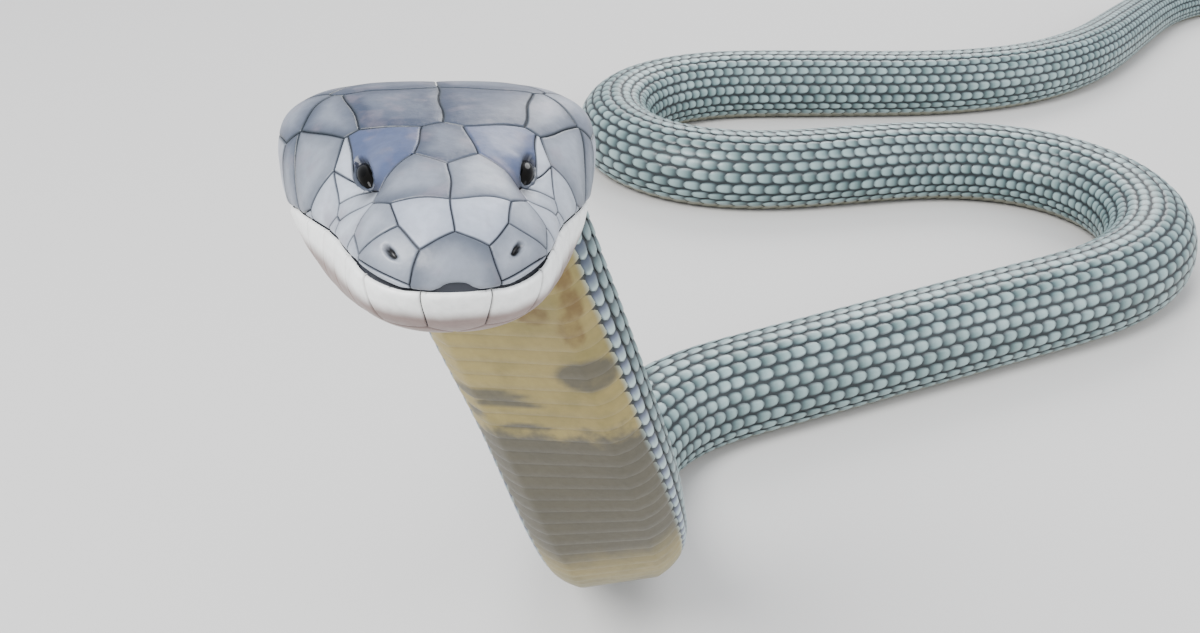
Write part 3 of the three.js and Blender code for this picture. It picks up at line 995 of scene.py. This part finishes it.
def build_scales():
    across, along = 7, 7
    u, w, v = leaf(across, along)
    stations = scale_stations()
    pitch = np.gradient(stations)
    roots = []
    for row in range(ROW_COUNT):
        part_round = (row + 0.5) * 2 / ROW_COUNT - 1
        shift = 0.5 * (row % 2)
        for k, s in enumerate(stations):
            roots.append((s + shift * pitch[k], part_round, pitch[k]))
    roots = np.array(roots)
    for name, low, high in SCALE_REGIONS:
        part = roots[(roots[:, 0] >= low) & (roots[:, 0] < high)]
        n = len(part)
        s0, a0, p0 = part[:, 0:1], part[:, 1:2], part[:, 2:3]
        half_width = SCALE_HALF_WIDTH + rng.normal(0, 0.03, (n, 1)) * 0.4
        s = s0 + (u[None] - ROOT_SHARE) * p0 * SCALE_REACH
        s = np.minimum(s, LENGTH - 0.5)
        a = belly_edge(s) * (a0 + w[None] * half_width * 2 / ROW_COUNT)
        a = a + rng.normal(0, 0.004, (n, 1))
        # A scale rises from its root, swells in the middle and turns down at its rim.
        swell = 0.38 * (1 - v[None] ** 2) * np.sin(np.pi * np.clip(u[None] * 0.9 + 0.05, 0, 1))
        rise = -1.0 + 1.05 * u[None] ** 0.7 + swell
        turn_down = ease((u[None] - 0.9) / 0.1) * 0.55 + ease((np.abs(v[None]) - 0.7) / 0.3) * 0.3
        lift = (rise - turn_down) * scale_size(s0) - nape_sink(s)
        faces = many_faces(across, along, n)
        mesh_object(
            name,
            raised_surface(s, a, lift).reshape(-1, 3),
            faces,
            scale_material,
            {
                "edge": np.minimum(1 - np.abs(v), (1 - u) * 2.2)[None] + 0 * s,
                "length": u[None] + 0 * s,
                "tone": rng.random((n, 1)) + 0 * s,
                "side": np.abs(a0) + 0 * s,
                "along": s0 * MM + 0 * s,
            },
            many_uv(s0, a0 * belly_edge(s0), u, w, faces),
        )


SCALE_GRAY = srgb(92, 118, 124)
SCALE_OLIVE = srgb(84, 108, 106)
SCALE_PALE = srgb(180, 204, 202)
SCALE_VIOLET = srgb(100, 104, 138)
SCALE_EDGE = srgb(26, 36, 42)
SCALE_INK = srgb(52, 66, 84)
SCALE_GRIT = srgb(120, 124, 118)


def scale_look():
    look = Look("back_scales", Roughness=0.36, Coat_Weight=0.15, Coat_Roughness=0.25)
    edge, length, tone = look.attribute("edge"), look.attribute("length"), look.attribute("tone")
    side, along = look.attribute("side"), look.attribute("along")
    cloudy, fine = look.noise(0.05, 3.0), look.noise(0.0015, 3.0)
    neck = 1 - along.rise(0.45, 0.6)
    low = side.rise(0.8, 0.95)
    skin = look.mix(tone * 0.6 + cloudy * 0.4, SCALE_OLIVE, SCALE_GRAY)
    skin = look.mix(neck * low * 0.7, skin, SCALE_VIOLET)
    skin = look.mix((1 - neck) * tone.rise(0.2, 1.0) * 0.28, skin, SCALE_PALE)
    skin = look.mix(length.rise(0.3, 0.8) * (0.42 + neck * low * 0.5), skin, SCALE_PALE)
    skin = look.mix((1 - edge.rise(0.0, 0.42)) * 0.85, skin, SCALE_EDGE)
    skin = look.mix((1 - length.rise(0.12, 0.45)) * 0.9, skin, SCALE_EDGE)
    inky = neck * low * (1 - along.rise(0.2, 0.235)) * (1 - length.rise(0.6, 0.9))
    skin = look.mix(inky * 0.7, skin, SCALE_INK)
    skin = look.mix(fine * 0.2, skin, SCALE_GRIT, "MULTIPLY")
    return look.finish(Base_Color=skin, Roughness=0.3 + fine * 0.2, Normal=look.bump(fine, 0.00008))


# Broad scales of the belly and throat

THROAT_TAN = srgb(150, 134, 76)
THROAT_OLIVE = srgb(124, 112, 56)
THROAT_RUST = srgb(104, 76, 22)
THROAT_WHITE = srgb(160, 138, 122)
BLOTCH_GRAY = srgb(66, 64, 56)
BELLY_PALE = srgb(128, 128, 112)
SCUTE_ROOT = srgb(86, 80, 62)
SCUTE_GRIT = srgb(140, 130, 110)

# Marks on the throat: distance, degrees from the middle of the back, half length along
# the body, half width in degrees.
RUST_MARKS = [(207, 131, 7, 6), (222, 131, 8, 7), (236, 139, 9, 8), (226, 160, 6, 9)]
GRAY_MARKS = [
    (266, 139, 9, 21),
    (281, 212, 3.2, 26),
    (287, 200, 2.2, 20),
    (303, 193, 2, 14),
    (296, 228, 3, 9),
]


# How far round the scutes go under the lowest scales, in degrees, and how clear of the
# floor they stay.
SCUTE_TUCK = 5
FLOOR_CLEAR = 0.15


def marked(s, degrees, marks):
    """1 inside the lens-shaped marks, falling to 0 round them."""
    strength = np.zeros(np.broadcast(s, degrees).shape)
    for at, middle, long, wide in marks:
        away = ((s - at) / long) ** 2, np.abs((degrees - middle) / wide) ** 2
        strength = np.maximum(strength, 1.6 - away[0] - away[1])
    return np.clip(strength / 0.7, 0, 1)


def scute_look():
    look = Look("belly_scutes", Roughness=0.42, Coat_Weight=0.1, Coat_Roughness=0.3)
    length, side, along = look.attribute("length"), look.attribute("side"), look.attribute("along")
    rust, gray = look.attribute("rust"), look.attribute("gray")
    cloudy, fine = look.noise(0.022, 3.0), look.noise(0.003, 4.0)
    streak = look.noise(0.012, 4.0)
    skin = look.mix(cloudy.rise(0.4, 0.7) * 0.7, THROAT_TAN, THROAT_OLIVE)
    skin = look.mix(1 - along.rise(0.1, 0.15), skin, THROAT_WHITE)
    skin = look.mix((rust * (streak * 2.4 - 0.35)).clear() * 0.85, skin, THROAT_RUST)
    skin = look.mix((gray * (0.6 + streak * 0.8)).clear() * 0.85, skin, BLOTCH_GRAY)
    band_from = (along + (streak - 0.5) * 0.03).rise(0.302, 0.316)
    band = band_from * (1 - (along + (cloudy - 0.5) * 0.05).rise(0.4, 0.44))
    skin = look.mix(along.rise(0.42, 0.52), skin, BELLY_PALE)
    skin = look.mix(band * 0.9, skin, BLOTCH_GRAY)
    skin = look.mix(streak.rise(0.55, 0.72) * along.rise(0.42, 0.5) * 0.6, skin, BLOTCH_GRAY)
    skin = look.mix((1 - length.rise(0.02, 0.2)) * 0.45, skin, SCUTE_ROOT)
    skin = look.mix(side.rise(0.86, 1.0) * 0.7, skin, SCALE_PALE)
    skin = look.mix(fine * 0.3, skin, SCUTE_GRIT, "MULTIPLY")
    return look.finish(Base_Color=skin, Roughness=0.36 + fine * 0.2, Normal=look.bump(fine, 0.0001))


def build_scutes():
    across, along = 45, 6
    grid = np.meshgrid(np.linspace(0, 1, along), np.linspace(-1, 1, across), indexing="ij")
    u, v = (m.ravel() for m in grid)
    stations = scale_stations()
    stations = stations[stations < LENGTH - 14]
    pitch = np.gradient(stations)[:, None]
    s0 = stations[:, None]
    half = np.pi - belly_edge(s0) + math.radians(SCUTE_TUCK)
    corner = np.clip(1 - np.abs(v), 0, 1)
    s = s0 + (u[None] - ROOT_SHARE) * pitch * SCUTE_REACH
    s = s - (1 - ease(corner / 0.35)) * pitch * 0.3 * u[None]
    s = np.minimum(s, LENGTH - 1)
    a = math.pi + v[None] * half + 0 * s
    # A scute rises from its root and turns down at its rear rim and at its corners.
    step = -0.95 + 0.95 * ease(u / 0.9) - 0.5 * ease((u - 0.9) / 0.1)
    step = step - 0.5 * (1 - ease(corner / 0.12))
    lift = step[None] * scale_size(s0) - nape_sink(s)
    points = raised_surface(s, a, lift).reshape(-1, 3)
    height = points[:, 2]
    on_floor = (s.ravel() > LANDED - 40) & (height < FLOOR_CLEAR)
    points[:, 2] = np.where(on_floor, FLOOR_CLEAR, height)
    faces = many_faces(across, along, len(stations))
    mesh_object(
        "belly_scutes",
        points,
        faces,
        scute_look(),
        {
            "length": u[None] + 0 * s,
            "side": np.abs(v)[None] + 0 * s,
            "along": s * MM,
            "rust": marked(s, np.degrees(a), RUST_MARKS),
            "gray": marked(s, np.degrees(a), GRAY_MARKS),
        },
        many_uv(s0, np.full_like(s0, math.pi), u, v, faces),
    )


# Eyes


def eye_look():
    look = Look("wet_eye", Roughness=0.12, Coat_Weight=0.05, Coat_Roughness=0.03, IOR=1.14)
    out = look.attribute("gaze")
    rays = look.noise(0.0009, 3.0)
    iris = look.mix(rays, srgb(6, 6, 5), srgb(11, 10, 8))
    eye = look.mix(out.rise(0.34, 0.42), srgb(2, 2, 2), iris)
    eye = look.mix(out.rise(0.6, 0.74), eye, srgb(12, 12, 11))
    return look.finish(Base_Color=eye)


BALL_GRID = (32, 48)
LID_GRID = (72, 12)
# The rim of the eye: where its middle lies outside the opening, its half width and
# thickness, how much its little beads swell, how deep it lies and how it bends back.
LID = {"out": 0.35, "half": 0.62, "thick": 0.6, "beads": 11, "swell": 0.12, "deep": 0.35, "bend": 0.02}


def ring_grid(first, second):
    grid = np.meshgrid(first, second, indexing="ij")
    return (m.ravel()[:, None] for m in grid)


def full_turn(count):
    return np.linspace(0, 2 * np.pi, count, endpoint=False)


def build_eyes():
    eye_material, lid_material = eye_look(), lid_look()
    for name, (skin_point, around, back, out) in zip(("eye_left", "eye_right"), eyes):
        polar, turn = ring_grid(np.linspace(0.001, np.pi, BALL_GRID[0]), full_turn(BALL_GRID[1]))
        points = (
            skin_point
            + out * (np.cos(polar) * EYEBALL[2] - EYE["sunk"])
            + around * (np.sin(polar) * np.cos(turn) * EYEBALL[1])
            + back * (np.sin(polar) * np.sin(turn) * EYEBALL[0])
        )
        piece = mesh_object(
            "cobra_" + name,
            points,
            grid_faces(*BALL_GRID, closed=True)[:, ::-1],
            eye_material,
            {"gaze": np.sin(polar)},
        )
        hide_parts(name)
        ring, tube = ring_grid(full_turn(LID_GRID[0]), full_turn(LID_GRID[1]))
        beads = 1 + LID["swell"] * np.cos(LID["beads"] * ring)
        reach = LID["out"] + LID["half"] * beads * np.cos(tube)
        bent = LID["bend"] * (EYE_OPENING[0] * np.sin(ring)) ** 2
        points = (
            skin_point
            + around * ((EYE_OPENING[1] + reach) * np.cos(ring))
            + back * ((EYE_OPENING[0] + reach) * np.sin(ring))
            + out * (-LID["deep"] + LID["thick"] * beads * np.sin(tube) - bent)
        )
        turns, sides = LID_GRID
        n, m = np.arange(turns)[:, None], np.arange(sides)[None]
        corners = [(n, m), (n + 1, m), (n + 1, m + 1), (n, m + 1)]
        quads = [(a % turns) * sides + b % sides for a, b in corners]
        quads = np.stack(quads, -1).reshape(-1, 4)
        mesh_object("lid_" + name, points, quads, lid_material)


def lid_look():
    look = Look("eye_rim_skin", Roughness=0.45)
    fine = look.noise(0.001, 3.0)
    skin = look.mix(fine, srgb(34, 40, 52), srgb(62, 70, 84))
    return look.finish(Base_Color=skin, Normal=look.bump(fine, 0.0001))


skin = build_skin()
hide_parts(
    "head", "lower_jaw", "neck_upper", "neck_lower", "neck_base",
    "trunk_1", "trunk_2", "trunk_3", "trunk_4", "trunk_5", "trunk_6", "trunk_7",
    "tail_1", "tail_2", "tail_3",
)
build_head_shields()
build_eyes()
scale_material = scale_look()
build_scales()
build_scutes()

# Floor and lights

FLOOR_REACH = 6.0
FLOOR_DROP = 0.0005
FLOOR_COLOR = (0.62, 0.61, 0.59, 1)
ROOM_COLOR = (0.9, 0.93, 1, 1)
ROOM_STRENGTH = 1.1
# Name, place, what it shines at, size, power and colour.
LAMPS = [
    ("key_light", (-2.0, -2.0, 2.8), (-0.3, -0.4, 0.2), 1.6, 165, (1, 1, 1)),
    ("fill_light", (2.4, -1.8, 1.8), (0, -0.3, 0.2), 2.2, 62, (0.95, 0.97, 1)),
    ("back_light", (0.4, 2.6, 2.2), (0, 0, 0.2), 2.0, 78, (1, 1, 1)),
]


def build_floor():
    mesh = bpy.data.meshes.new("floor")
    signs = ((-1, -1), (1, -1), (1, 1), (-1, 1))
    corners = [(x * FLOOR_REACH, y * FLOOR_REACH, -FLOOR_DROP) for x, y in signs]
    mesh.from_pydata(corners, [], [(0, 1, 2, 3)])
    floor = bpy.data.objects.new("floor", mesh)
    bpy.context.scene.collection.objects.link(floor)
    look = Look("pale_floor", Roughness=0.85)
    mesh.materials.append(look.finish(Base_Color=FLOOR_COLOR))


def add_light(name, at, aim, size, power, color):
    data = bpy.data.lights.new(name, "AREA")
    data.shape = "DISK"
    data.size = size
    data.energy = power
    data.color = color
    lamp = bpy.data.objects.new(name, data)
    lamp.location = at
    lamp.rotation_euler = (Vector(aim) - Vector(at)).to_track_quat("-Z", "Y").to_euler()
    bpy.context.scene.collection.objects.link(lamp)


build_floor()
for lamp_data in LAMPS:
    add_light(*lamp_data)
world = bpy.data.worlds.new("soft_room")
bpy.context.scene.world = world
world.use_nodes = True
background = world.node_tree.nodes["Background"]
background.inputs["Color"].default_value = ROOM_COLOR
background.inputs["Strength"].default_value = ROOM_STRENGTH

bpy.context.view_layer.update()
